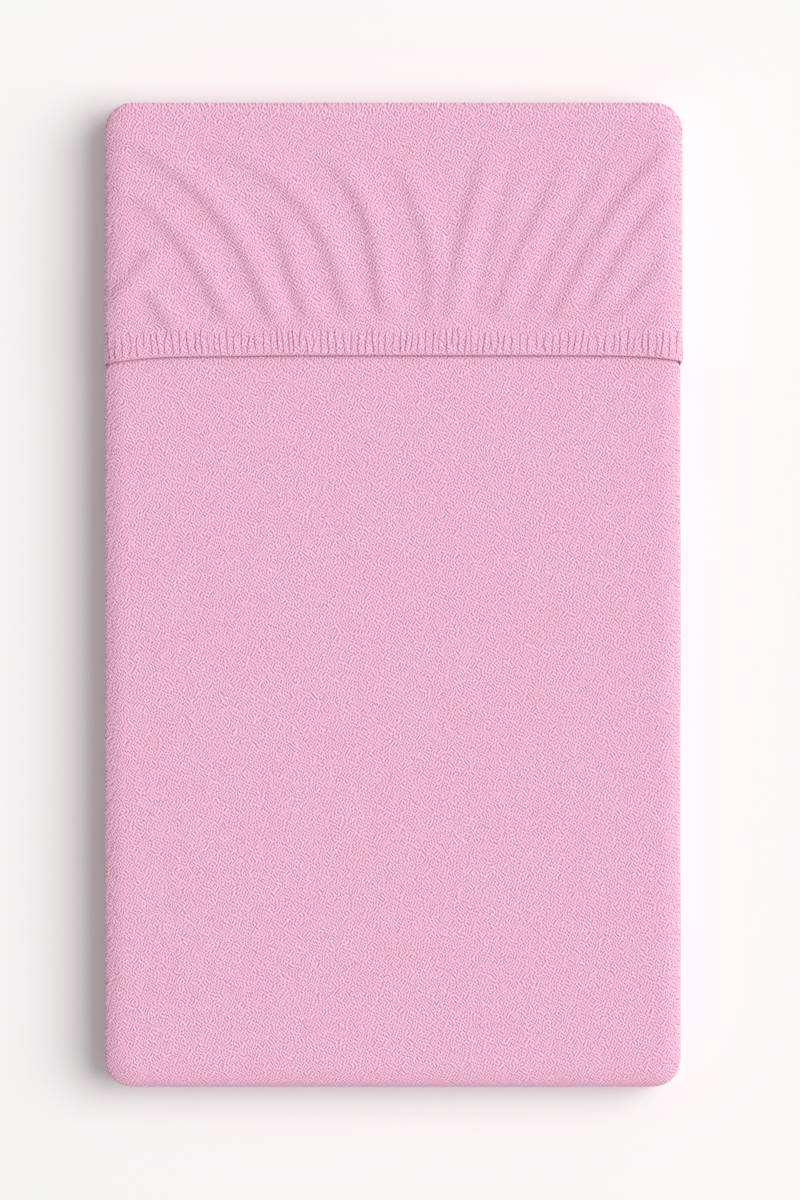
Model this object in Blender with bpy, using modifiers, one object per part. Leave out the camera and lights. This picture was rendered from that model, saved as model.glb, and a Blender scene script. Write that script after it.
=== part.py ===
"""A fitted sheet of terry cloth, folded into a flat pack that its own head end holds together.

The pack lies on its back, with X across it, Y towards its head end and Z up, in metres. The cloth is one solid.
Most of it is the pile: the sheet's two sides are folded in to its middle and the strip is folded in half, which
gives four plies, and the strip is then folded in three. The rest is the head end, a shallow pocket turned over the
top of the pile and joined to the pile's back ply. Folds fan out on its front, above its gathered hem.
"""

import math
from collections import namedtuple

import bmesh
import bpy
from mathutils import Vector

MM = 0.001

# The pack's outline, seen from above
PACK_WIDTH = 250.4 * MM
PACK_LENGTH = 427 * MM
CORNER_RADIUS = 12 * MM
CORNER_X = PACK_WIDTH / 2 - CORNER_RADIUS
CORNER_Y = PACK_LENGTH / 2 - CORNER_RADIUS

# The pack is plump in the middle and thinner along its edges
CROWN_BAND = 9 * MM
CROWN_LOSS = 0.12
CROWN_POWER = 2

# The cloth and the plies of the pile
PLY = 1.5 * MM
PITCH = 1.85 * MM
PLIES_IN_STRIP = 4
STRIPS = 3
STRIP_PITCH = PLIES_IN_STRIP * PITCH
OUTER_PLY = (PLIES_IN_STRIP - 1) / 2 * PITCH
HALF_STRIP = OUTER_PLY + PLY / 2
PILE_HALF_WIDTH = 124.95 * MM
PILE_OFF_CENTRE = -0.25 * MM
INNER_HEMS_IN = (6 * MM, 10 * MM)
FOOT_FOLD_RADIUS = 5 * MM
FOOT_FOLD_POWER = 6
BACK_STRIP_END = 208 * MM
TUCKED_STRIP_END = -205.5 * MM

# The pocket at the head end, and how it squeezes the pile
POCKET_PLY = 1.3 * MM
POCKET_ROOM = 0.45 * MM
POCKET_EDGE_RADIUS = 1.0 * MM
POCKET_UNDERLAP = 7 * MM
SQUEEZE_FROM = 96 * MM
SQUEEZE_TO = 103 * MM
SQUEEZE_LOSS = 0.03
POCKET_INSET = POCKET_PLY / 2 + POCKET_EDGE_RADIUS
FRONT_COLUMN = 4 * MM
FRONT_ROW = 6 * MM

# The hem of the pocket: its line across the front, and its band
HEM_LINE = 103.5 * MM
HEM_END_DIP = 2.8 * MM
HEM_END_POWER = 10
HEM_SIDE_DIP = 1 * MM
HEM_BAND = 11 * MM
HEM_SWELL = 0.3 * MM

# The folds that fan out above the hem
FOLD_HEIGHT = 1.2 * MM
FOLD_STEEP_SIDE = 2.3 * MM
FOLD_GENTLE_SIDE = 4.2 * MM
FOLD_FADE = 11 * MM

# Each fold's crest runs through three points, from its head end to its end near the hem (x and y in millimetres).
# Height is a share of FOLD_HEIGHT.
Fold = namedtuple("Fold", "head_x head_y mid_x mid_y hem_x hem_y height")
FOLDS = (
    Fold(-108, 155, -114, 142, -119, 130, 0.6),
    Fold(-113, 176, -88, 149, -72, 118, 0.9),
    Fold(-117, 198, -75, 165, -53, 121, 1.0),
    Fold(-62, 175, -46, 146, -39, 122, 0.8),
    Fold(-82, 196, -38, 167, -19, 119, 0.9),
    Fold(-33, 192, -13, 169, -5, 121, 1.0),
    Fold(0, 192, 13, 159, 15, 124, 0.7),
    Fold(41, 196, 29, 151, 25, 122, 1.0),
    Fold(55, 186, 45, 157, 38, 127, 0.4),
    Fold(74, 187, 53, 145, 46, 124, 0.8),
    Fold(94, 190, 68, 141, 61, 121, 0.7),
    Fold(119, 197, 93, 159, 73, 120, 1.0),
    Fold(119, 179, 94, 134, 87, 121, 0.7),
    Fold(118, 146, 110, 135, 100, 121, 0.8),
)

# Points on a round stretch
SMALL_FOLD_STEPS = 4
LARGE_FOLD_STEPS = 6
QUARTER_STEPS = 3
POCKET_EDGE_STEPS = 2

CLOTH_PINK = (0.82, 0.45, 0.59, 1.0)
CLOTH_ROUGHNESS = 0.95
WELD_DISTANCE = 0.001 * MM


def mix(first, second, share):
    return first + (second - first) * share


def eased(share):
    """Zero below 0 and one above 1, with a smooth rise between."""
    share = min(max(share, 0), 1)
    return share * share * (3 - 2 * share)


def arc(centre_a, centre_b, radius, start, end, steps):
    """Points (a, b) on an arc, from the start angle to the end angle in degrees."""
    points = []
    for step in range(steps + 1):
        angle = math.radians(mix(start, end, step / steps))
        points.append((centre_a + radius * math.cos(angle), centre_b + radius * math.sin(angle)))
    return points


def inside_outline(x, y):
    """How far a point lies inside the pack's outline, seen from above."""
    over_x = abs(x) - CORNER_X
    over_y = abs(y) - CORNER_Y
    if over_x > 0 and over_y > 0:
        return CORNER_RADIUS - math.hypot(over_x, over_y)
    return CORNER_RADIUS - max(over_x, over_y)


def crowned(point):
    """Lowers a point towards the surface that the pack lies on, the more the nearer it is to the pack's edge."""
    edge = min(max(1 - inside_outline(point.x, point.y) / CROWN_BAND, 0), 1)
    return Vector((point.x, point.y, point.z * (1 - CROWN_LOSS * edge**CROWN_POWER)))


def add_grid(mesh, columns, rows, place):
    """Adds a flat grid of columns by rows points, each one moved to where place(column, row) puts it."""
    grid = bmesh.ops.create_grid(mesh, x_segments=len(columns) - 1, y_segments=len(rows) - 1, size=1)
    spots = [(column, row) for row in rows for column in columns]
    for vertex, (column, row) in zip(grid["verts"], spots):
        vertex.co = place(column, row)


# The pile


def squeeze(y):
    """How far the pocket has squeezed the pile at y, from 0 to 1."""
    return eased((y - SQUEEZE_FROM) / (SQUEEZE_TO - SQUEEZE_FROM))


def pile_half_width(y):
    """Half the pile's width at y: drawn in by the pocket, and rounded at the pack's corners."""
    pocket_wall = POCKET_PLY + POCKET_ROOM
    half_width = mix(PILE_HALF_WIDTH, PACK_WIDTH / 2 - pocket_wall, squeeze(y))
    corner = mix(CORNER_RADIUS, CORNER_RADIUS - pocket_wall, squeeze(y))
    beyond = max(abs(y) - CORNER_Y, 0)
    return half_width - corner + math.sqrt(max(corner * corner - beyond * beyond, 0))


def settled(point):
    """Takes a point of the straight-sided pile to where it lies in the pack."""
    x = point.x * pile_half_width(point.y) / PILE_HALF_WIDTH + PILE_OFF_CENTRE * (1 - squeeze(point.y))
    z = point.z * (1 - SQUEEZE_LOSS * squeeze(point.y))
    return crowned(Vector((x, point.y, z)))


def strip_section():
    """The strip's four plies seen from its end, as (across, height above the strip's middle) points.

    From the first hem, hidden inside: out to a small fold on the left, along the outer ply, round the large fold on
    the right, back along the fourth ply, and round the other small fold to the second hem.
    """
    small = PITCH / 2
    large = OUTER_PLY
    left = small + PLY / 2 - PILE_HALF_WIDTH
    right = PILE_HALF_WIDTH - HALF_STRIP
    crown_start = PILE_HALF_WIDTH - CROWN_BAND
    crown_middle = PILE_HALF_WIDTH - CROWN_BAND / 2
    first_hem, second_hem = (PILE_HALF_WIDTH - inset for inset in INNER_HEMS_IN)
    across = (-crown_middle, -crown_start, crown_start, crown_middle)
    inner_across = across[:2]
    return (
        [(first_hem, -small)]
        + [(x, -small) for x in reversed(inner_across)]
        + arc(left, -PITCH, small, 90, 270, SMALL_FOLD_STEPS)
        + [(x, -large) for x in across]
        + arc(right, 0, large, -90, 90, LARGE_FOLD_STEPS)
        + [(x, large) for x in reversed(across)]
        + arc(left, PITCH, small, 90, 270, SMALL_FOLD_STEPS)
        + [(x, small) for x in inner_across]
        + [(second_hem, small)]
    )


def strip_path():
    """The line that the strip's middle follows, as (y, z, height direction's y, height direction's z) rows.

    The back strip runs to the foot, turns up round the tucked end, comes back as the front strip, and turns down
    inside the pocket to run to the foot again between the two. Its height always points into the turns.
    """
    back, middle, front = (HALF_STRIP + strip * STRIP_PITCH for strip in range(STRIPS))
    foot_y = HALF_STRIP + FOOT_FOLD_RADIUS - PACK_LENGTH / 2
    head_radius = STRIP_PITCH / 2
    head_y = PACK_LENGTH / 2 - POCKET_PLY - POCKET_ROOM - HALF_STRIP - head_radius
    along = (-CORNER_Y, SQUEEZE_FROM, mix(SQUEEZE_FROM, SQUEEZE_TO, 0.5), SQUEEZE_TO, CORNER_Y)

    def turn(centre_y, centre_z, radius, start, end, steps, power=2):
        """A turn round its centre. Above the power of 2, which is a round one, it is squarer."""
        rows = []
        for out_y, out_z in arc(0, 0, 1, start, end, steps):
            reach = (abs(out_y) ** power + abs(out_z) ** power) ** (-1 / power)
            height_y = -reach * out_y
            height_z = -reach * out_z
            rows.append((centre_y - radius * height_y, centre_z - radius * height_z, height_y, height_z))
        return rows

    return (
        [(y, back, 0, 1) for y in (BACK_STRIP_END, *reversed(along))]
        + turn(foot_y, back + FOOT_FOLD_RADIUS, FOOT_FOLD_RADIUS, 270, 180, QUARTER_STEPS, FOOT_FOLD_POWER)
        + turn(foot_y, front - FOOT_FOLD_RADIUS, FOOT_FOLD_RADIUS, 180, 90, QUARTER_STEPS, FOOT_FOLD_POWER)
        + [(y, front, 0, -1) for y in along]
        + turn(head_y, middle + head_radius, head_radius, 90, -90, 2 * QUARTER_STEPS)
        + [(y, middle, 0, 1) for y in (*reversed(along[1:]), TUCKED_STRIP_END)]
    )


def folded_point(ply_point, path_row):
    across, height = ply_point
    y, z, height_y, height_z = path_row
    return Vector((across, y + height * height_y, z + height * height_z))


def make_pile():
    """The folded strip: its section swept along its path, with the cloth's thickness."""
    mesh = bmesh.new()
    add_grid(mesh, strip_section(), strip_path(), folded_point)
    return cloth_object("fitted_sheet", mesh, PLY, settled)


# The pocket


def fold_rise(x, y):
    """How far the folds lift the pocket's front at a point."""
    rise = 0
    for fold in FOLDS:
        crest_x, slope = crest(fold, y)
        off_crest = (x - crest_x) / math.hypot(1, slope)
        side = FOLD_GENTLE_SIDE if off_crest > 0 else FOLD_STEEP_SIDE
        from_head = eased((fold.head_y * MM - y) / FOLD_FADE)
        from_hem = eased((y - fold.hem_y * MM) / FOLD_FADE + 0.5)
        rise += fold.height * FOLD_HEIGHT * math.exp(-((off_crest / side) ** 2)) * from_head * from_hem
    return rise


def crest(fold, y):
    """The x of a fold's crest at y, and its slope there, from the parabola through the fold's three points."""
    at = y / MM
    ys = (fold.head_y, fold.mid_y, fold.hem_y)
    xs = (fold.head_x, fold.mid_x, fold.hem_x)
    x = 0
    slope = 0
    for this in range(3):
        one, other = (ys[index] for index in range(3) if index != this)
        scale = xs[this] / ((ys[this] - one) * (ys[this] - other))
        x += scale * (at - one) * (at - other)
        slope += scale * (2 * at - one - other)
    return x * MM, slope


def hem_y(x):
    """The hem's line across the front: level, with a dip where it goes over each side."""
    return HEM_LINE - HEM_END_DIP * abs(x / (PACK_WIDTH / 2)) ** HEM_END_POWER


def hem_rise(above_hem):
    """How far the doubled cloth of the hem swells the front, at a distance above the hem's line."""
    return HEM_SWELL * (1 - eased(above_hem / HEM_BAND * 2 - 1))


def pocket_top():
    """The height of the middle of the pocket's front ply, where no fold lifts it."""
    plies = STRIPS * PLIES_IN_STRIP
    pile_top = ((plies - 1) * PITCH + PLY) * (1 - SQUEEZE_LOSS)
    return pile_top + POCKET_ROOM + POCKET_PLY / 2


def evenly(start, end, longest):
    """Evenly spaced values from start to end, no further apart than the longest step."""
    steps = math.ceil((end - start) / longest)
    return [mix(start, end, step / steps) for step in range(steps + 1)]


def front_columns():
    """The x of each column of the front, with a column between each edge and the start of its round corners."""
    edge = PACK_WIDTH / 2 - POCKET_INSET
    middle = evenly(-CORNER_X, CORNER_X, FRONT_COLUMN)
    corner = (mix(CORNER_X, edge, 0.5), edge)
    return [-x for x in reversed(corner)] + middle + list(corner)


def front_rows():
    """The y of each row of the front where the hem's line is level: the hem, its band, and on to the head end."""
    edge = PACK_LENGTH / 2 - POCKET_INSET
    band_top = HEM_LINE + HEM_BAND
    band = [HEM_LINE, mix(HEM_LINE, band_top, 0.5)]
    corner = [mix(CORNER_Y, edge, 0.5), edge]
    return band + evenly(band_top, CORNER_Y, FRONT_ROW) + corner


def front_point(x, level_y):
    """The place on the pocket's front of a point of its grid, with its folds and its two round corners."""
    corner = CORNER_RADIUS - POCKET_INSET
    dip = (HEM_LINE - hem_y(x)) * (1 - eased((level_y - HEM_LINE) / (2 * HEM_BAND)))
    y = level_y - dip
    over_x = max(abs(x) - CORNER_X, 0) / corner
    over_y = max(y - CORNER_Y, 0) / corner
    # The two square corners are drawn in to round ones.
    rounded_x = math.copysign(min(abs(x), CORNER_X) + corner * over_x * math.sqrt(1 - over_y**2 / 2), x)
    rounded_y = min(y, CORNER_Y) + corner * over_y * math.sqrt(1 - over_x**2 / 2)
    rise = fold_rise(rounded_x, rounded_y) + hem_rise(level_y - HEM_LINE)
    return Vector((rounded_x, rounded_y, pocket_top() + rise))


def outward(point):
    """The direction straight out of the pack's outline, at a point on the edge of the pocket's front."""
    over_x = max(abs(point.x) - CORNER_X, 0)
    over_y = max(point.y - CORNER_Y, 0)
    return Vector((math.copysign(over_x, point.x), over_y, 0)).normalized()


def wall_profile():
    """The pocket's wall from its front to its underlap, as (outward, height) points."""
    radius = POCKET_EDGE_RADIUS
    back = PLY / 2
    return (
        arc(0, pocket_top() - radius, radius, 90, 0, POCKET_EDGE_STEPS)
        + arc(0, back + radius, radius, 0, -90, POCKET_EDGE_STEPS)
        + [(-POCKET_UNDERLAP, back)]
    )


def wall_point(front_edge, profile_row):
    """A point of the wall, below the point of the front's edge that its grid has at front_edge."""
    outward_by, height = profile_row
    top = front_point(*front_edge)
    down = (pocket_top() - height) / (pocket_top() - PLY / 2)
    rise = (top.z - pocket_top()) * (1 - eased(3 * down))
    dip = HEM_SIDE_DIP * down * (1 - eased((front_edge[1] - HEM_LINE) / (CORNER_Y - HEM_LINE)))
    point = top + outward(top) * outward_by
    return Vector((point.x, point.y - dip, height + rise))


def make_pocket():
    """The pocket: its front, and the wall that runs down round three sides of it and a little way under."""
    columns = front_columns()
    rows = front_rows()
    left_side = [(columns[0], y) for y in rows]
    head_side = [(x, rows[-1]) for x in columns[1:-1]]
    right_side = [(columns[-1], y) for y in reversed(rows)]
    mesh = bmesh.new()
    add_grid(mesh, columns, rows, front_point)
    add_grid(mesh, left_side + head_side + right_side, wall_profile(), wall_point)
    bmesh.ops.remove_doubles(mesh, verts=mesh.verts, dist=WELD_DISTANCE)
    return cloth_object("pocket", mesh, POCKET_PLY, crowned)


# The scene


def cloth_object(name, sheet, thickness, lay):
    """An object from an open sheet: given its thickness, then laid, with lay(point) moving each point."""
    bmesh.ops.recalc_face_normals(sheet, faces=sheet.faces)
    flat = bpy.data.meshes.new(name)
    sheet.to_mesh(flat)
    sheet.free()
    cloth = bpy.data.objects.new(name, flat)
    bpy.context.scene.collection.objects.link(cloth)
    solidify = cloth.modifiers.new("thickness", "SOLIDIFY")
    solidify.thickness = thickness
    solidify.offset = 0
    solidify.use_even_offset = True
    graph = bpy.context.evaluated_depsgraph_get()
    solid = bpy.data.meshes.new_from_object(cloth.evaluated_get(graph))
    cloth.modifiers.clear()
    cloth.data = solid
    bpy.data.meshes.remove(flat)
    solid.name = name
    for vertex in solid.vertices:
        vertex.co = lay(vertex.co)
    bpy.context.scene.collection.objects.unlink(cloth)
    return cloth


def cloth_material():
    material = bpy.data.materials.new("pink_terry")
    material.use_nodes = True
    shader = material.node_tree.nodes["Principled BSDF"]
    shader.inputs["Base Color"].default_value = CLOTH_PINK
    shader.inputs["Roughness"].default_value = CLOTH_ROUGHNESS
    shader.inputs["Metallic"].default_value = 0
    return material


def clear_scene():
    for thing in list(bpy.data.objects):
        bpy.data.objects.remove(thing, do_unlink=True)


def new_collection(name):
    collection = bpy.data.collections.new(name)
    bpy.context.scene.collection.children.link(collection)
    return collection


def join_pocket(pile, pocket):
    """Makes the pile and the pocket one body. The pocket's underlap lies inside the pile's back ply."""
    pocket.hide_render = True
    pocket.display_type = "WIRE"
    join = pile.modifiers.new("pocket", "BOOLEAN")
    join.operation = "UNION"
    join.solver = "EXACT"
    join.object = pocket


def main():
    clear_scene()
    pile = make_pile()
    pocket = make_pocket()
    new_collection("folded_fitted_sheet").objects.link(pile)
    new_collection("joined_shapes").objects.link(pocket)
    join_pocket(pile, pocket)
    pile.data.materials.append(cloth_material())
    pile.data.shade_smooth()


main()
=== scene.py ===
"""The looks of a fitted sheet of terry cloth, folded into a flat pack that its own head end holds together.

The pack lies on its back, with X across it, Y towards its head end and Z up, in metres. The cloth is one thin
sheet, built by its outer face. Most of it is the pile, the sheet folded back and forth. The rest is the
pocket, the head end turned over the top of the pile. Folds fan out on its front above its gathered hem.
"""

import math
from collections import namedtuple

import bmesh
import bpy
import numpy as np
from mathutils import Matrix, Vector


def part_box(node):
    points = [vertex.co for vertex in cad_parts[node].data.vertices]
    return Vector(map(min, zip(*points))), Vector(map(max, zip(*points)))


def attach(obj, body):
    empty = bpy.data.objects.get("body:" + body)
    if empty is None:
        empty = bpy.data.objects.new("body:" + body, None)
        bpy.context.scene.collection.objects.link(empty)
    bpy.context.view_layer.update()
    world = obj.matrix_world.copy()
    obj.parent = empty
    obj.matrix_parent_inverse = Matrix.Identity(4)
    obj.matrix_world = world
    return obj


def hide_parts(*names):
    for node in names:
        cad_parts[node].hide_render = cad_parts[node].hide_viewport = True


MM = 0.001

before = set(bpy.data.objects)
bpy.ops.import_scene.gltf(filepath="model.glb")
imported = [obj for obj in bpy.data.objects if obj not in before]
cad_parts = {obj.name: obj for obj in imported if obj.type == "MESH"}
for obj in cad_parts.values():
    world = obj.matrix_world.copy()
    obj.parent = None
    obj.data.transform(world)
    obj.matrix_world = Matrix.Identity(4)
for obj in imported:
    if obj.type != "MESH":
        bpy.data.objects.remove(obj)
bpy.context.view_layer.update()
lowest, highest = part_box("fitted_sheet")

# The pack's outline, seen from above
PACK_WIDTH = highest.x - lowest.x
PACK_LENGTH = highest.y - lowest.y
HALF_WIDTH = PACK_WIDTH / 2
HALF_LENGTH = PACK_LENGTH / 2
CORNER_RADIUS = 12 * MM
CORNER_X = HALF_WIDTH - CORNER_RADIUS
CORNER_Y = HALF_LENGTH - CORNER_RADIUS

# The pack is plump in the middle and thinner along its edges
CROWN_BAND = 9 * MM
CROWN_LOSS = 0.12
CROWN_POWER = 2

# The plies of the pile
PLY = 1.5 * MM
PITCH = 1.85 * MM
PLIES_IN_STRIP = 4
STRIPS = 3
STRIP_PITCH = PLIES_IN_STRIP * PITCH
HALF_STRIP = (PLIES_IN_STRIP - 1) / 2 * PITCH + PLY / 2
PILE_HALF_WIDTH = 124.95 * MM
PILE_OFF_CENTRE = -0.25 * MM
INNER_HEMS_IN = (6 * MM, 10 * MM)
FOOT_FOLD_RADIUS = 5 * MM
FOOT_FOLD_POWER = 8
SIDE_FOLD_POWER = 5
BACK_STRIP_END = 208 * MM
TUCKED_STRIP_END = -205.5 * MM

# How far the folded edges of the pile wander inwards at most, in the front strip and in those below it. Two
# waves along the edge make up the wander, with these shares of it, and each fold has its own phase.
FRONT_WANDER = 0.3 * MM
BACK_WANDER = 1.0 * MM
EDGE_WANDER_BAND = 22 * MM
EDGE_LONG_WAVE = 23 * MM
EDGE_LONG_SHARE = 0.33
EDGE_SHORT_WAVE = 8.5 * MM
EDGE_SHORT_SHARE = 0.17
EDGE_PHASE = 2.4
EDGE_SHORT_PHASE = -1.7

# The pocket, and how it squeezes the pile
POCKET_PLY = 1.3 * MM
POCKET_ROOM = 0.45 * MM
POCKET_EDGE = 1.6 * MM
POCKET_UNDERLAP = 4 * MM
SQUEEZE_FROM = 96 * MM
SQUEEZE_TO = 103 * MM
SQUEEZE_LOSS = 0.03
PILE_TOP = ((STRIPS * PLIES_IN_STRIP - 1) * PITCH + PLY) * (1 - SQUEEZE_LOSS)
POCKET_FRONT = PILE_TOP + POCKET_ROOM + POCKET_PLY
POCKET_BACK = (PLY - POCKET_PLY) / 2

# The way round the pocket, from the middle of its front: half the front, a round edge, the wall, a round edge
HALF_FRONT = HALF_WIDTH - POCKET_EDGE
EDGE_ARC = POCKET_EDGE * math.pi / 2
WALL = POCKET_FRONT - POCKET_BACK - 2 * POCKET_EDGE
HALF_GIRTH = HALF_FRONT + 2 * EDGE_ARC + WALL + POCKET_UNDERLAP

# The hem: its line across the front, its band and its rolled lip, which is painted darker as shade where it
# turns under. A lip shade of 1 would be the full painted shade of a crease.
HEM_LINE = 103.5 * MM
HEM_END_DIP = 2.8 * MM
HEM_END_POWER = 10
HEM_SIDE_DIP = 1 * MM
HEM_BAND = 11 * MM
HEM_SWELL = 0.3 * MM
HEM_LIP_RADIUS = 0.95 * MM
LIP_SHADE = 2.8
LIP_SHADE_POWER = 1.2

# Where the hem's line strays from level: the height of each stray, its place along the hem and its width, in
# millimetres
Stray = namedtuple("Stray", "height at width")
HEM_STRAYS = (
    Stray(-1.1, -125, 32),
    Stray(-0.3, -74, 20),
)

# The fine gathers in the hem. Each rises in a step, with painted shade in a groove at its foot, and falls
# away gently.
GATHER_SEED = 11
GATHER_PITCH = 3 * MM
GATHER_PITCH_SPREAD = 0.14
GATHER_PITCH_RANGE = (0.5, 1.6)
GATHER_HEIGHT = 0.36 * MM
GATHER_HEIGHT_SPREAD = 0.14
GATHER_HEIGHT_RANGE = (0.6, 1.3)
GATHER_STEP = 0.17 * MM
GATHER_FALL = 1.2 * MM
GATHER_GROOVE = 0.45
GATHER_GROOVE_AT = -1.6 * GATHER_STEP
GATHER_GROOVE_WIDTH = 1.7 * GATHER_STEP
# Painted shade in each gather's groove: where it lies from the step and how wide it is
GATHER_SHADE_AT = -0.7 * GATHER_STEP
GATHER_SHADE_WIDTH = 1.6 * GATHER_STEP
GATHERS_ON_WALL = 0.6

# How the gathers lean and bend, and how far they reach above the hem's line
GATHER_FAN = 0.1
GATHER_LEAN_SPREAD = 0.05
GATHER_BEND_SPREAD = 0.22 * MM
GATHER_BENDS = (0.6, 1.6)
GATHER_START = (0.2 * MM, 1.2 * MM)
GATHER_FADE_IN = 1.4 * MM
GATHER_PAST_BAND = (-0.4 * MM, 2.6 * MM)
GATHER_FADE_OUT = 3.2 * MM
SHORT_GATHER_SHARE = 0.12
SHORT_GATHER_START = (1 * MM, 4 * MM)

# The folds that fan out above the hem. Each has a steep flank on its left and falls away gently on its right.
FOLD_HEIGHT = 1.0 * MM
FOLD_HALF_RISE = 3.6 * MM
FOLD_FALL = 9 * MM
FOLD_FADE_AT_HEM = 12 * MM
# Painted shade along each fold's steep flank: its strength, where it lies and how wide it is
FOLD_SHADE = 0.35
FOLD_SHADE_AT = -0.25 * FOLD_HALF_RISE
FOLD_SHADE_WIDTH = FOLD_HALF_RISE / math.sqrt(2)
FOLDS_ON_WALL = 0.3

# The middle of each fold's steep flank runs through four points, from the head end to the hem. They are in
# millimetres, and x runs on round the pocket's edges and down its walls. Height is a share of FOLD_HEIGHT.
# Fade is the length over which the fold rises from its head end, in millimetres.
Fold = namedtuple("Fold", "x1 y1 x2 y2 x3 y3 x4 y4 height fade")
FOLDS = (
    Fold(-121.0, 199.5, -89.4, 177.2, -65.2, 145.6, -53.5, 118.3, 0.95, 24),
    Fold(-117.6, 175.5, -95.5, 155.1, -82.5, 135.2, -73.4, 119.2, 0.9, 24),
    Fold(-85.1, 196.7, -51.3, 177.7, -31.0, 152.5, -21.0, 122.6, 0.8, 28),
    Fold(-54.4, 166.8, -49.6, 153.4, -44.8, 137.4, -37.9, 118.7, 0.8, 20),
    Fold(-34.9, 193.0, -16.3, 170.3, -9.3, 145.6, -6.0, 122.0, 0.95, 24),
    Fold(-1.5, 191.0, 9.3, 165.1, 14.5, 144.7, 13.2, 121.0, 0.65, 24),
    Fold(39.6, 197.4, 32.7, 170.7, 27.1, 146.9, 22.7, 121.0, 0.8, 28),
    Fold(55.7, 187.0, 47.0, 163.4, 42.0, 143.0, 36.2, 125.4, 0.35, 24),
    Fold(76.0, 192.5, 63.5, 168.1, 54.4, 149.5, 44.0, 122.0, 0.75, 30),
    Fold(97.3, 194.5, 79.5, 165.1, 67.8, 143.4, 58.5, 121.9, 0.55, 30),
    Fold(119.8, 197.6, 96.0, 168.1, 80.6, 143.4, 69.6, 119.2, 0.95, 16),
    Fold(119.6, 177.4, 105.5, 157.7, 94.5, 141.3, 85.0, 122.8, 0.75, 13),
    Fold(118.2, 147.2, 111.4, 138.1, 104.2, 129.9, 95.0, 119.0, 0.7, 10),
    Fold(116.0, 127.5, 112.7, 122.0, 110.5, 118.5, 108.0, 114.0, 0.4, 8),
    Fold(-105.7, 151.4, -112.9, 140.1, -118.2, 133.8, -122.0, 127.0, 0.95, 9),
    Fold(-108.2, 133.0, -104.5, 126.5, -101.0, 120.5, -98.0, 114.5, 0.9, 7),
    Fold(131.0, 152.0, 131.5, 138.0, 132.0, 124.0, 132.0, 112.0, 0.7, 22),
    Fold(139.5, 138.0, 139.0, 128.0, 138.6, 118.0, 138.2, 108.0, 0.6, 18),
    Fold(-131.0, 146.0, -130.5, 135.0, -130.4, 122.0, -130.6, 112.0, 0.7, 20),
    Fold(-138.5, 156.0, -139.0, 140.0, -139.0, 124.0, -138.6, 108.0, 0.6, 24),
)

# How closely the sheet's points lie
FRONT_STEP = 5 * MM
BACK_STEP = 6 * MM
TUCKED_STEP = 10 * MM
INNER_STEP = 54 * MM
SQUEEZE_STEP = 1.2 * MM
CROWN_STEP = 2 * MM
SMALL_FOLD_STEPS = 14
LARGE_FOLD_STEPS = 22
QUARTER_STEPS = 16
POCKET_STEP = 1.6 * MM
POCKET_EDGE_STEPS = 8
GATHER_COLUMN = 0.25 * MM
HEM_ROW = 0.8 * MM
HEM_INSIDE_ROW = 3.2 * MM
LIP_STEPS = 6
WELD_DISTANCE = 0.001 * MM

# The terry. A wave texture of scale 1 has WAVES_A_METRE lines.
WAVES_A_METRE = 20 / (2 * math.pi)
LOOP_PITCHES = (1.15 * MM, 1.3 * MM)
LOOP_LEANS = (-46, 58)
LOOP_LEAN_SPREAD = 15
LOOP_TILT = math.radians(32)
LOOP_DISTORTION = 6.0
LOOP_DETAIL_SCALE = 0.9
LOOP_PATCH = 1.4 * MM
LOOP_PATCH_EDGE = (0.3, 0.7)
LOOP_RELIEF = 0.22 * MM
# The loops are painted lighter on top and darker between, as painted light and shade that follow their relief
LOOP_CONTRAST = (0.13, 0.80)
CLOTH_PAINTED_LIGHT = (1.0, 0.61, 0.78, 1)
CLOTH_PAINTED_SHADE = (0.60, 0.26, 0.37, 1)
# The painted shade in the creases, the gathers' grooves and under the hem's lip, at full strength
HOLLOW_SHADE = (0.80, 0.70, 0.75, 1)
MOTTLE_PITCH = 18 * MM
MOTTLE_EDGE = (0.35, 0.65)
MOTTLE_WARM = (1.0, 0.975, 0.97, 1)
MOTTLE_COOL = (0.985, 1.0, 1.0, 1)
CLOTH_ROUGHNESS = 0.95
CLOTH_SPECULAR = 0.15
SHEEN_WEIGHT = 0.15
SHEEN_ROUGHNESS = 0.5
SHEEN_TINT = (1.0, 0.9, 0.97, 1)

# The light, the floor and the camera
FLOOR_SIZE = 8
FLOOR_COLOUR = (0.882, 0.877, 0.870, 1)
FLOOR_ROUGHNESS = 0.9
FLOOR_SPECULAR = 0.1
KEY_DIRECTION = Vector((0.68, 0.12, 0.73))
KEY_DISTANCE = 8
KEY_SIZE = 8.5
KEY_POWER = 648
SKY_COLOUR = (1, 1, 1, 1)
SKY_STRENGTH = 0.478
FRAME_HEIGHT = 520 * MM
CAMERA_DISTANCE = 2.6
CAMERA_SENSOR = 36
PACK_OFF_CENTRE = (-2.8 * MM, 2.2 * MM)


def eased(share):
    """Zero below 0 and one above 1, with a smooth rise between."""
    share = np.clip(share, 0, 1)
    return share * share * (3 - 2 * share)


def bell(values, middle, width):
    """One at the middle, with a smooth fall on both sides, to 1/e at this width from it."""
    return np.exp(-(((values - middle) / width) ** 2))


def evenly(start, end, longest):
    """Evenly spaced values from start to end, no further apart than the longest step."""
    steps = max(math.ceil(abs(end - start) / longest - 1e-6), 1)
    return np.linspace(start, end, steps + 1)


def joined(*runs):
    """Runs of values as one, where each run starts at the value that ends the last one."""
    return np.concatenate([runs[0]] + [run[1:] for run in runs[1:]])


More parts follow.
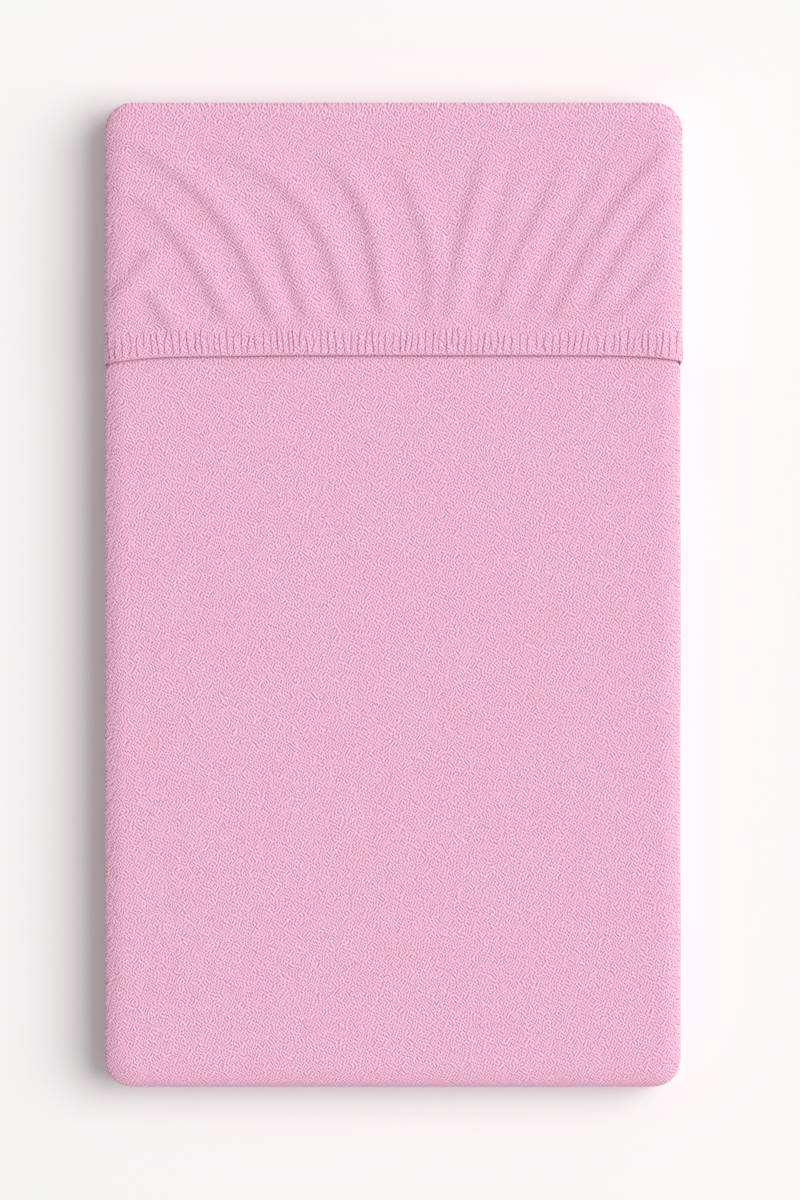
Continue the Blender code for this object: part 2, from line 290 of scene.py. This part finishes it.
class Sheet:
    """The points and faces of the cloth, added patch by patch. A patch is a grid in rows and columns."""

    def __init__(self):
        self.places = []
        self.painted_shades = []
        self.faces = []
        self.count = 0

    def add_points(self, places, painted_shade=0.0):
        """Adds a grid of places, and the painted shade each carries. Returns the points' numbers."""
        shape = places.shape[:-1]
        self.places.append(places.reshape(-1, 3))
        self.painted_shades.append(np.broadcast_to(painted_shade, shape).ravel())
        numbers = self.count + np.arange(math.prod(shape)).reshape(shape)
        self.count += numbers.size
        return numbers

    def fill(self, numbers):
        """Fills a grid of points with faces."""
        corners = (numbers[:-1, :-1], numbers[:-1, 1:], numbers[1:, 1:], numbers[1:, :-1])
        self.faces += np.stack(corners, -1).reshape(-1, 4).tolist()

    def fill_between(self, fine_row, coarse_row, stops):
        """Fills the gap between a fine row and a coarse one, which has a point at each of these stops."""
        for column in range(len(stops) - 1):
            along = fine_row[stops[column] : stops[column + 1] + 1].tolist()
            self.faces.append(along + [int(coarse_row[column + 1]), int(coarse_row[column])])

    def build(self, name):
        """The sheet as an object, with its patches welded where they meet."""
        mesh = bpy.data.meshes.new(name)
        mesh.from_pydata(np.concatenate(self.places), [], self.faces)
        # Each point's painted shade, which the material darkens the cloth by
        painted_shade = mesh.attributes.new("painted_shade", "FLOAT", "POINT")
        painted_shade.data.foreach_set("value", np.concatenate(self.painted_shades).astype(np.float32))
        welded = bmesh.new()
        welded.from_mesh(mesh)
        bmesh.ops.remove_doubles(welded, verts=welded.verts, dist=WELD_DISTANCE)
        welded.to_mesh(mesh)
        welded.free()
        mesh.shade_smooth()
        sheet = bpy.data.objects.new(name, mesh)
        bpy.context.scene.collection.objects.link(sheet)
        return sheet


def inside_outline(x, y):
    """How far a point lies inside the pack's outline, seen from above."""
    over_x = np.abs(x) - CORNER_X
    over_y = np.abs(y) - CORNER_Y
    in_corner = (over_x > 0) & (over_y > 0)
    return CORNER_RADIUS - np.where(in_corner, np.hypot(over_x, over_y), np.maximum(over_x, over_y))


def crowned(x, y, z):
    """Places lowered towards what the pack lies on, the more the nearer they are to the pack's edge."""
    edge = np.clip(1 - inside_outline(x, y) / CROWN_BAND, 0, 1)
    return np.stack(np.broadcast_arrays(x, y, z * (1 - CROWN_LOSS * edge**CROWN_POWER)), -1)


# The pile


def squeeze(y):
    """How far the pocket has squeezed the pile at y, from 0 to 1."""
    return eased((y - SQUEEZE_FROM) / (SQUEEZE_TO - SQUEEZE_FROM))


def narrowing(y):
    """The share of its full width the pile has at y: drawn in by the pocket, and round at its corners."""
    drawn_in = squeeze(y) * (PILE_HALF_WIDTH - HALF_WIDTH + POCKET_PLY + POCKET_ROOM)
    corner = CORNER_RADIUS - squeeze(y) * (POCKET_PLY + POCKET_ROOM)
    beyond = np.clip(np.abs(y) - CORNER_Y, 0, corner)
    return (PILE_HALF_WIDTH - drawn_in - corner + np.sqrt(corner**2 - beyond**2)) / PILE_HALF_WIDTH


def arc(centre_a, centre_b, radius, start, end, steps, power=2):
    """Points on an arc, from the start angle to the end angle in degrees, as rows of two coordinates.

    With the power of 2 it is round, and above that it is squarer.
    """
    angle = np.radians(np.linspace(start, end, steps + 1))
    out = np.stack((np.cos(angle), np.sin(angle)), -1)
    out /= (np.abs(out) ** power).sum(-1, keepdims=True) ** (1 / power)
    return np.array((centre_a, centre_b)) + radius * out


def level(across, height):
    """Points of a flat ply, as rows of two coordinates."""
    return np.stack(np.broadcast_arrays(across, height), -1)


def strip_section():
    """The outer face of the strip's four plies, seen from the strip's end, as (across, height, fold) rows.

    From the first hem, hidden inside: out to a small fold on the left, along the outer ply, round the large
    fold on the right, back along the fourth ply, and round the other small fold to the second hem. Fold says
    which of the three folds a point moves with.
    """
    small = PITCH / 2 + PLY / 2
    left = small - PILE_HALF_WIDTH
    right = PILE_HALF_WIDTH - HALF_STRIP
    crown_start = PILE_HALF_WIDTH - CROWN_BAND
    first_hem, second_hem = (PILE_HALF_WIDTH - inset for inset in INNER_HEMS_IN)
    face_gap = (PITCH - PLY) / 2
    outer = joined(
        evenly(left, -crown_start, CROWN_STEP),
        evenly(-crown_start, crown_start, FRONT_STEP),
        evenly(crown_start, right, CROWN_STEP),
    )
    inner = evenly(-crown_start, crown_start, INNER_STEP)[1:-1]
    parts = (
        (level(np.array([first_hem, 0, -crown_start]), -face_gap), 0),
        (arc(left, -PITCH, small, 90, 270, SMALL_FOLD_STEPS, SIDE_FOLD_POWER), 0),
        (level(outer[outer < 0][1:], -HALF_STRIP), 0),
        (level(outer[outer >= 0][:-1], -HALF_STRIP), 1),
        (arc(right, 0, HALF_STRIP, -90, 90, LARGE_FOLD_STEPS, SIDE_FOLD_POWER), 1),
        (level(inner[::-1], HALF_STRIP), 1),
        (arc(left, PITCH, small, 90, 270, SMALL_FOLD_STEPS, SIDE_FOLD_POWER), 2),
        (level(np.array([-crown_start, 0, second_hem]), face_gap), 2),
    )
    return np.concatenate([np.insert(points, 2, fold, axis=1) for points, fold in parts])


def strip_path():
    """The line that the strip's middle follows, as (y, z, height direction's y and z) rows.

    The back strip runs to the foot, turns up round the tucked end, comes back as the front strip, and turns
    down inside the pocket to run to the foot again between the two. Its height always points into the turns.
    """
    back, middle, front = (HALF_STRIP + strip * STRIP_PITCH for strip in range(STRIPS))
    foot_y = HALF_STRIP + FOOT_FOLD_RADIUS - HALF_LENGTH
    head_radius = STRIP_PITCH / 2
    head_y = HALF_LENGTH - POCKET_PLY - POCKET_ROOM - HALF_STRIP - head_radius

    def turn(y, z, radius, start, end, power=2):
        out = arc(0, 0, 1, start, end, QUARTER_STEPS, power)
        return np.hstack((np.array((y, z)) + radius * out, -out))

    def run(z, height_z, y):
        return np.stack(np.broadcast_arrays(y, z, 0.0, height_z), -1)

    def stops(start, end, step):
        squeezed = evenly(SQUEEZE_FROM, SQUEEZE_TO, SQUEEZE_STEP)
        return joined(evenly(start, SQUEEZE_FROM, step), squeezed, evenly(SQUEEZE_TO, end, step))

    return np.concatenate(
        (
            run(back, 1, stops(-CORNER_Y, BACK_STRIP_END, BACK_STEP)[::-1]),
            turn(foot_y, back + FOOT_FOLD_RADIUS, FOOT_FOLD_RADIUS, 270, 180, FOOT_FOLD_POWER),
            turn(foot_y, front - FOOT_FOLD_RADIUS, FOOT_FOLD_RADIUS, 180, 90, FOOT_FOLD_POWER),
            run(front, -1, stops(-CORNER_Y, CORNER_Y, FRONT_STEP)),
            turn(head_y, middle + head_radius, head_radius, 90, -90),
            run(middle, 1, evenly(CORNER_Y, TUCKED_STRIP_END, TUCKED_STEP)),
        )
    )


def wander(fold, along):
    """How far the edge of a fold is drawn in, along the strip, from 0 to 1."""
    phase = EDGE_PHASE * fold
    long_wave = np.sin(along / EDGE_LONG_WAVE + phase)
    short_wave = np.sin(along / EDGE_SHORT_WAVE + EDGE_SHORT_PHASE * phase)
    return 0.5 + EDGE_LONG_SHARE * long_wave + EDGE_SHORT_SHARE * short_wave


def add_pile(sheet):
    """The folded strip: its section swept along its path, and settled to where it lies in the pack."""
    across, height, fold = strip_section().T
    y, z, height_y, height_z = strip_path().T
    along = np.concatenate(([0], np.cumsum(np.hypot(np.diff(y), np.diff(z)))))
    near_edge = eased(1 - (PILE_HALF_WIDTH - np.abs(across)) / EDGE_WANDER_BAND)
    on_front = z > (STRIPS - 1) * STRIP_PITCH
    most = np.where(on_front, FRONT_WANDER, BACK_WANDER)[:, None]
    drawn_in = most * near_edge * wander(fold, along[:, None])
    point_y = y[:, None] + height * height_y[:, None]
    point_z = (z[:, None] + height * height_z[:, None]) * (1 - SQUEEZE_LOSS * squeeze(point_y))
    off_centre = PILE_OFF_CENTRE * (1 - squeeze(point_y))
    point_x = (across - np.sign(across) * drawn_in) * narrowing(point_y) + off_centre
    sheet.fill(sheet.add_points(crowned(point_x, point_y, point_z)))


# The pocket


def girth_place(girth):
    """The place that far round the pocket from the middle of its front: x, z, and the way out in x and z."""
    beyond = np.abs(girth) - HALF_FRONT
    upper = np.clip(beyond / EDGE_ARC, 0, 1) * math.pi / 2
    lower = np.clip((beyond - EDGE_ARC - WALL) / EDGE_ARC, 0, 1) * math.pi / 2
    down_wall = np.clip(beyond - EDGE_ARC, 0, WALL)
    under = np.clip(beyond - 2 * EDGE_ARC - WALL, 0, None)
    side = np.sign(girth)
    x = np.minimum(np.abs(girth), HALF_FRONT) + POCKET_EDGE * (np.sin(upper) - 1 + np.cos(lower)) - under
    z = POCKET_FRONT - POCKET_EDGE * (1 - np.cos(upper) + np.sin(lower)) - down_wall
    return side * x, z, side * np.sin(upper + lower), np.cos(upper + lower)


def crest(fold, y):
    """The girth of the middle of a fold's steep flank at y, and its slope: a cubic through four points."""
    ys = np.array((fold.y1, fold.y2, fold.y3, fold.y4)) * MM
    xs = np.array((fold.x1, fold.x2, fold.x3, fold.x4)) * MM
    middle = ys.mean()
    curve = np.polynomial.Polynomial.fit(ys - middle, xs, 3)
    within = np.clip(y, ys[-1] - FOLD_FADE_AT_HEM, ys[0]) - middle
    return curve(within), curve.deriv()(within)


def folds_at(girth, y):
    """How far the folds lift the pocket at a point, and the painted shade it carries along their steep
    flanks.
    """
    rise = 0
    painted_shade = 0
    for fold in FOLDS:
        flank, slope = crest(fold, y)
        off_flank = (girth - flank) / np.hypot(1, slope)
        from_head = np.clip((fold.y1 * MM - y) / (fold.fade * MM), 0, 1)
        from_head = from_head * (2 - from_head)
        from_hem = eased((y - fold.y4 * MM) / FOLD_FADE_AT_HEM + 0.5)
        height = fold.height * from_head * from_hem
        up = np.clip(off_flank / FOLD_HALF_RISE / 2 + 0.5, 0, 1)
        risen = up - np.sin(2 * math.pi * up) / (2 * math.pi)
        fallen = eased((off_flank - FOLD_HALF_RISE) / FOLD_FALL)
        rise = rise + FOLD_HEIGHT * height * risen * (1 - fallen)
        painted_shade = painted_shade + height * bell(off_flank, FOLD_SHADE_AT, FOLD_SHADE_WIDTH)
    return rise, FOLD_SHADE * np.clip(painted_shade, 0, 1)


def gathers_at(girth, above_hem):
    """How far the fine gathers lift the hem at a point, and the painted shade it carries in their grooves."""
    draw = np.random.default_rng(GATHER_SEED)
    rise = 0
    painted_shade = 0
    middle = HEM_BAND / 2
    at = -HALF_GIRTH
    while at < HALF_GIRTH:
        at += GATHER_PITCH * np.clip(draw.normal(1, GATHER_PITCH_SPREAD), *GATHER_PITCH_RANGE)
        lean = GATHER_FAN * at / HALF_WIDTH + draw.normal(0, GATHER_LEAN_SPREAD)
        bend = draw.normal(0, GATHER_BEND_SPREAD)
        bends = draw.uniform(*GATHER_BENDS)
        phase = draw.uniform(0, 2 * math.pi)
        height = np.clip(draw.normal(1, GATHER_HEIGHT_SPREAD), *GATHER_HEIGHT_RANGE)
        start = draw.uniform(*GATHER_START)
        end = HEM_BAND + draw.uniform(*GATHER_PAST_BAND)
        if draw.random() < SHORT_GATHER_SHARE:
            start += draw.uniform(*SHORT_GATHER_START)
        turn = 2 * math.pi * bends * (above_hem - middle) / HEM_BAND
        off = girth - at - lean * (above_hem - middle) - bend * np.sin(turn + phase)
        fade_in = eased((above_hem - start) / GATHER_FADE_IN)
        fade_out = eased((above_hem - end) / GATHER_FADE_OUT + 1)
        span = height * fade_in * (1 - fade_out)
        step = 0.5 * (1 + np.tanh(off / GATHER_STEP))
        fall = np.exp(-np.clip(off, 0, None) / GATHER_FALL)
        groove = GATHER_GROOVE * bell(off, GATHER_GROOVE_AT, GATHER_GROOVE_WIDTH)
        rise = rise + GATHER_HEIGHT * span * (step * fall - groove)
        painted_shade = painted_shade + span * bell(off, GATHER_SHADE_AT, GATHER_SHADE_WIDTH)
    return rise, np.clip(painted_shade, 0, 1)


def proud(out_z, on_wall):
    """The share of its height that relief keeps: all on the front, on_wall on the walls, none underneath."""
    return np.where(out_z > 0, on_wall + (1 - on_wall) * out_z, on_wall * (1 + out_z))


def hem_place(girth, above_hem):
    """The y of a point above the hem's line: nearly level on the front, with a dip at each side."""
    x = np.minimum(np.abs(girth), HALF_FRONT + EDGE_ARC) / (HALF_FRONT + EDGE_ARC)
    down_side = np.clip((np.abs(girth) - HALF_FRONT - EDGE_ARC) / (WALL + EDGE_ARC), 0, 1)
    strayed = sum(stray.height * MM * bell(girth, stray.at * MM, stray.width * MM) for stray in HEM_STRAYS)
    front_share = 1 - eased(above_hem / (2 * HEM_BAND))
    side_share = 1 - eased(above_hem / (CORNER_Y - HEM_LINE))
    dip = (HEM_END_DIP * x**HEM_END_POWER - strayed) * front_share + HEM_SIDE_DIP * down_side * side_share
    return HEM_LINE + above_hem - dip


def pocket_points(girth, above_hem, sunk=0.0, gathered=False):
    """Places on the pocket, sunk below its outer face by that much, and the painted shade each carries."""
    x, z, out_x, out_z = girth_place(girth)
    y = hem_place(girth, above_hem)
    rise, painted_shade = folds_at(girth, y)
    swell = HEM_SWELL * (1 - eased(above_hem / HEM_BAND * 2 - 1))
    rise = (rise + swell) * proud(out_z, FOLDS_ON_WALL) - sunk
    if gathered:
        gather_rise, gather_painted_shade = gathers_at(girth, above_hem)
        shown = np.clip(1 - sunk / HEM_LIP_RADIUS, 0, 1) * proud(out_z, GATHERS_ON_WALL)
        rise = rise + gather_rise * shown
        painted_shade = np.maximum(painted_shade, gather_painted_shade * shown)
        # The lip is painted darker as it turns under: a painted shade line below the hem
        in_lip = np.clip(sunk / HEM_LIP_RADIUS, 0, 1)
        painted_shade = np.maximum(painted_shade, LIP_SHADE * in_lip**LIP_SHADE_POWER)
    return crowned(x + out_x * rise, y, z + out_z * rise), painted_shade


def pocket_columns():
    """The girths of the pocket's columns: close where it turns round its edges."""
    stops = np.cumsum((HALF_FRONT, EDGE_ARC, WALL, EDGE_ARC, POCKET_UNDERLAP))
    edge_step = EDGE_ARC / POCKET_EDGE_STEPS
    steps = (edge_step, POCKET_STEP, edge_step, POCKET_STEP)
    right = [evenly(start, end, step) for start, end, step in zip(stops[:-1], stops[1:], steps)]
    half = joined(evenly(0, stops[0], POCKET_STEP), *right)
    return joined(-half[::-1], half)


def hem_rows():
    """The hem's rows, up its inside, round its lip and out: how far above its line, and how far sunk."""
    lip = arc(HEM_LIP_RADIUS, HEM_LIP_RADIUS, HEM_LIP_RADIUS, 90, 270, LIP_STEPS)
    inside = evenly(HEM_BAND, HEM_LIP_RADIUS, HEM_INSIDE_ROW)[:-1]
    outside = evenly(HEM_LIP_RADIUS, HEM_BAND + 2 * HEM_ROW, HEM_ROW)[1:]
    above = np.concatenate((inside, lip[:, 0], outside))
    sunk = np.concatenate((np.full(len(inside), 2 * HEM_LIP_RADIUS), lip[:, 1], np.zeros(len(outside))))
    return above[:, None], sunk[:, None]


def add_pocket(sheet):
    """The pocket: its gathered hem, the rest of it up to its corners, and its head end."""
    columns = pocket_columns()
    fine = [evenly(start, end, GATHER_COLUMN) for start, end in zip(columns[:-1], columns[1:])]
    stops = np.concatenate(([0], np.cumsum([len(run) - 1 for run in fine])))
    above, sunk = hem_rows()
    hem = sheet.add_points(*pocket_points(joined(*fine), above, sunk, gathered=True))
    sheet.fill(hem)
    first_row = above[-1, 0] + 1.5 * HEM_ROW
    rows = evenly(first_row, CORNER_Y - HEM_LINE, POCKET_STEP)
    places, painted_shade = pocket_points(columns, rows[:, None])
    upper = sheet.add_points(places, painted_shade)
    sheet.fill_between(hem[-1], upper[0], stops)
    sheet.fill(upper)
    add_head_end(sheet, columns)


def add_head_end(sheet, columns):
    """The pocket beyond the start of its round corners: the rest of its front, and the wall round that."""
    front = columns[np.abs(columns) <= HALF_FRONT + WELD_DISTANCE]
    corner = CORNER_RADIUS - POCKET_EDGE
    rows = evenly(CORNER_Y, CORNER_Y + corner, POCKET_STEP)[:, None]
    over_x = np.clip((np.abs(front) - CORNER_X) / corner, 0, 1)
    over_y = np.clip((rows - CORNER_Y) / corner, 0, 1)
    # The two square corners are drawn in to round ones.
    x = np.sign(front) * (np.minimum(np.abs(front), CORNER_X) + corner * over_x * np.sqrt(1 - over_y**2 / 2))
    y = CORNER_Y + corner * over_y * np.sqrt(1 - over_x**2 / 2)
    rise, painted_shade = folds_at(x, y)
    sheet.fill(sheet.add_points(crowned(x, y, POCKET_FRONT + rise), painted_shade))
    # The wall hangs from the front's edge, up its left side, along its head end and down its right side.
    edge_x = np.concatenate((x[:-1, 0], x[-1], x[:-1, -1][::-1]))
    edge_y = np.concatenate((y[:-1, 0], y[-1], y[:-1, -1][::-1]))
    out_x = np.sign(edge_x) * np.clip(np.abs(edge_x) - CORNER_X, 0, None)
    out_y = np.clip(edge_y - CORNER_Y, 0, None)
    out = np.hypot(out_x, out_y)
    profile_girth = columns[columns >= HALF_FRONT - WELD_DISTANCE][:, None]
    reach, height, side_out, side_up = girth_place(profile_girth)
    reach = reach - HALF_FRONT
    wall_x = edge_x + out_x / out * reach
    wall_y = edge_y + out_y / out * reach
    girth = np.sign(edge_x) * (np.abs(edge_x) + profile_girth - HALF_FRONT)
    rise, painted_shade = folds_at(girth, wall_y)
    rise = rise * proud(side_up, FOLDS_ON_WALL)
    wall = crowned(
        wall_x + out_x / out * side_out * rise,
        wall_y + out_y / out * side_out * rise,
        height + side_up * rise,
    )
    sheet.fill(sheet.add_points(wall, painted_shade))


# The terry


def new_node(tree, kind, inputs=None, **settings):
    """A node with these settings. Inputs maps a socket to its value, or to the socket that feeds it."""
    node = tree.nodes.new(kind)
    for name, value in settings.items():
        setattr(node, name, value)
    for name, value in (inputs or {}).items():
        if isinstance(value, bpy.types.NodeSocket):
            tree.links.new(value, node.inputs[name])
        else:
            node.inputs[name].default_value = value
    return node


def terry_material():
    """Looped cotton terry: short wormlike loops, with painted light on their tops and painted shade between
    them, and a faint mottle.
    """
    material = bpy.data.materials.new("pink_terry")
    material.use_nodes = True
    tree = material.node_tree
    shader = tree.nodes["Principled BSDF"]
    place = new_node(tree, "ShaderNodeTexCoord").outputs["Object"]

    def noise(pitch, detail):
        inputs = {"Vector": place, "Scale": 1 / pitch, "Detail": detail}
        return new_node(tree, "ShaderNodeTexNoise", inputs).outputs["Fac"]

    def blend(share, first, second, kind="MIX"):
        inputs = {0: share, 6: first, 7: second}
        settings = {"data_type": "RGBA", "blend_type": kind, "clamp_factor": False}
        return new_node(tree, "ShaderNodeMix", inputs, **settings).outputs[2]

    def ramp(value, low, high, to_low=0.0, to_high=1.0):
        inputs = {"Value": value, "From Min": low, "From Max": high, "To Min": to_low, "To Max": to_high}
        return new_node(tree, "ShaderNodeMapRange", inputs).outputs["Result"]

    def maths(operation, first, second):
        return new_node(tree, "ShaderNodeMath", {0: first, 1: second}, operation=operation).outputs[0]

    def wave(lean, pitch):
        """Wavy lines at an angle from X in degrees, from 0 between them to 1 on top of them.

        They are tilted out of level, so that they show on the walls as well as on the front.
        """
        mapping_inputs = {
            "Vector": place,
            "Rotation": (LOOP_TILT, 0, math.radians(lean)),
            "Scale": (WAVES_A_METRE * pitch * math.cos(LOOP_TILT),) * 3,
        }
        along = new_node(tree, "ShaderNodeMapping", mapping_inputs, vector_type="TEXTURE").outputs[0]
        wave_inputs = {
            "Vector": along,
            "Scale": 1.0,
            "Distortion": LOOP_DISTORTION,
            "Detail": 0.0,
            "Detail Scale": LOOP_DETAIL_SCALE * math.cos(LOOP_TILT),
        }
        return new_node(tree, "ShaderNodeTexWave", wave_inputs, bands_direction="Y").outputs["Fac"]

    def loops(lean):
        """Loops that lie about one way: two waves that cross at a small angle, and break each other up."""
        narrow, wide = LOOP_PITCHES
        crossed = maths("ADD", wave(lean - LOOP_LEAN_SPREAD, narrow), wave(lean + LOOP_LEAN_SPREAD, wide))
        return maths("MULTIPLY", 0.5, crossed)

    falling, rising = (loops(lean) for lean in LOOP_LEANS)
    patch = ramp(noise(LOOP_PATCH, 0), *LOOP_PATCH_EDGE)
    falling_share = maths("MULTIPLY", falling, maths("SUBTRACT", 1.0, patch))
    relief = maths("ADD", falling_share, maths("MULTIPLY", rising, patch))
    bump = new_node(tree, "ShaderNodeBump", {"Strength": 1.0, "Distance": LOOP_RELIEF, "Height": relief})
    tree.links.new(bump.outputs["Normal"], shader.inputs["Normal"])

    # Painted light on the loops' tops and painted shade between them
    cloth = blend(ramp(relief, *LOOP_CONTRAST), CLOTH_PAINTED_SHADE, CLOTH_PAINTED_LIGHT)
    mottle = blend(ramp(noise(MOTTLE_PITCH, 2), *MOTTLE_EDGE), MOTTLE_WARM, MOTTLE_COOL)
    cloth = blend(1.0, cloth, mottle, "MULTIPLY")
    # Painted shade in the creases, the gathers' grooves and under the hem's lip
    painted_shade = new_node(tree, "ShaderNodeAttribute", attribute_name="painted_shade").outputs["Fac"]
    shade = blend(painted_shade, (1, 1, 1, 1), HOLLOW_SHADE)
    tree.links.new(blend(1.0, cloth, shade, "MULTIPLY"), shader.inputs["Base Color"])

    shader.inputs["Roughness"].default_value = CLOTH_ROUGHNESS
    shader.inputs["Specular IOR Level"].default_value = CLOTH_SPECULAR
    shader.inputs["Sheen Weight"].default_value = SHEEN_WEIGHT
    shader.inputs["Sheen Roughness"].default_value = SHEEN_ROUGHNESS
    shader.inputs["Sheen Tint"].default_value = SHEEN_TINT
    return material


# The studio


def floor_material():
    material = bpy.data.materials.new("floor")
    material.use_nodes = True
    shader = material.node_tree.nodes["Principled BSDF"]
    shader.inputs["Base Color"].default_value = FLOOR_COLOUR
    shader.inputs["Roughness"].default_value = FLOOR_ROUGHNESS
    shader.inputs["Specular IOR Level"].default_value = FLOOR_SPECULAR
    return material


def add_floor():
    mesh = bpy.data.meshes.new("floor")
    shape = bmesh.new()
    bmesh.ops.create_grid(shape, x_segments=1, y_segments=1, size=FLOOR_SIZE / 2)
    shape.to_mesh(mesh)
    shape.free()
    mesh.materials.append(floor_material())
    floor = bpy.data.objects.new("floor", mesh)
    bpy.context.scene.collection.objects.link(floor)


def add_light():
    """Soft studio light: a large lamp from the right and a little from the head end, and an even sky."""
    lamp = bpy.data.lights.new("key", "AREA")
    lamp.shape = "DISK"
    lamp.size = KEY_SIZE
    lamp.energy = KEY_POWER
    key = bpy.data.objects.new("key", lamp)
    key.location = KEY_DIRECTION.normalized() * KEY_DISTANCE
    key.rotation_euler = KEY_DIRECTION.to_track_quat("Z", "Y").to_euler()
    bpy.context.scene.collection.objects.link(key)
    sky = bpy.data.worlds.new("sky")
    sky.use_nodes = True
    background = sky.node_tree.nodes["Background"]
    background.inputs["Color"].default_value = SKY_COLOUR
    background.inputs["Strength"].default_value = SKY_STRENGTH
    bpy.context.scene.world = sky


def add_camera():
    """A long lens straight above the pack's front, with the head end at the top of the picture."""
    lens = bpy.data.cameras.new("camera")
    lens.sensor_width = CAMERA_SENSOR
    lens.lens = CAMERA_SENSOR * CAMERA_DISTANCE / FRAME_HEIGHT
    camera = bpy.data.objects.new("camera", lens)
    camera.location = (-PACK_OFF_CENTRE[0], -PACK_OFF_CENTRE[1], PILE_TOP + CAMERA_DISTANCE)
    bpy.context.scene.collection.objects.link(camera)
    bpy.context.scene.camera = camera


def add_sheet():
    """The whole cloth as one piece, in the place of its solid."""
    sheet = Sheet()
    add_pile(sheet)
    add_pocket(sheet)
    cloth = sheet.build("terry_sheet")
    cloth.data.materials.append(terry_material())
    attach(cloth, "root")
    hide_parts("fitted_sheet")


add_sheet()
add_floor()
add_light()
add_camera()
bpy.context.scene.view_settings.view_transform = "Standard"
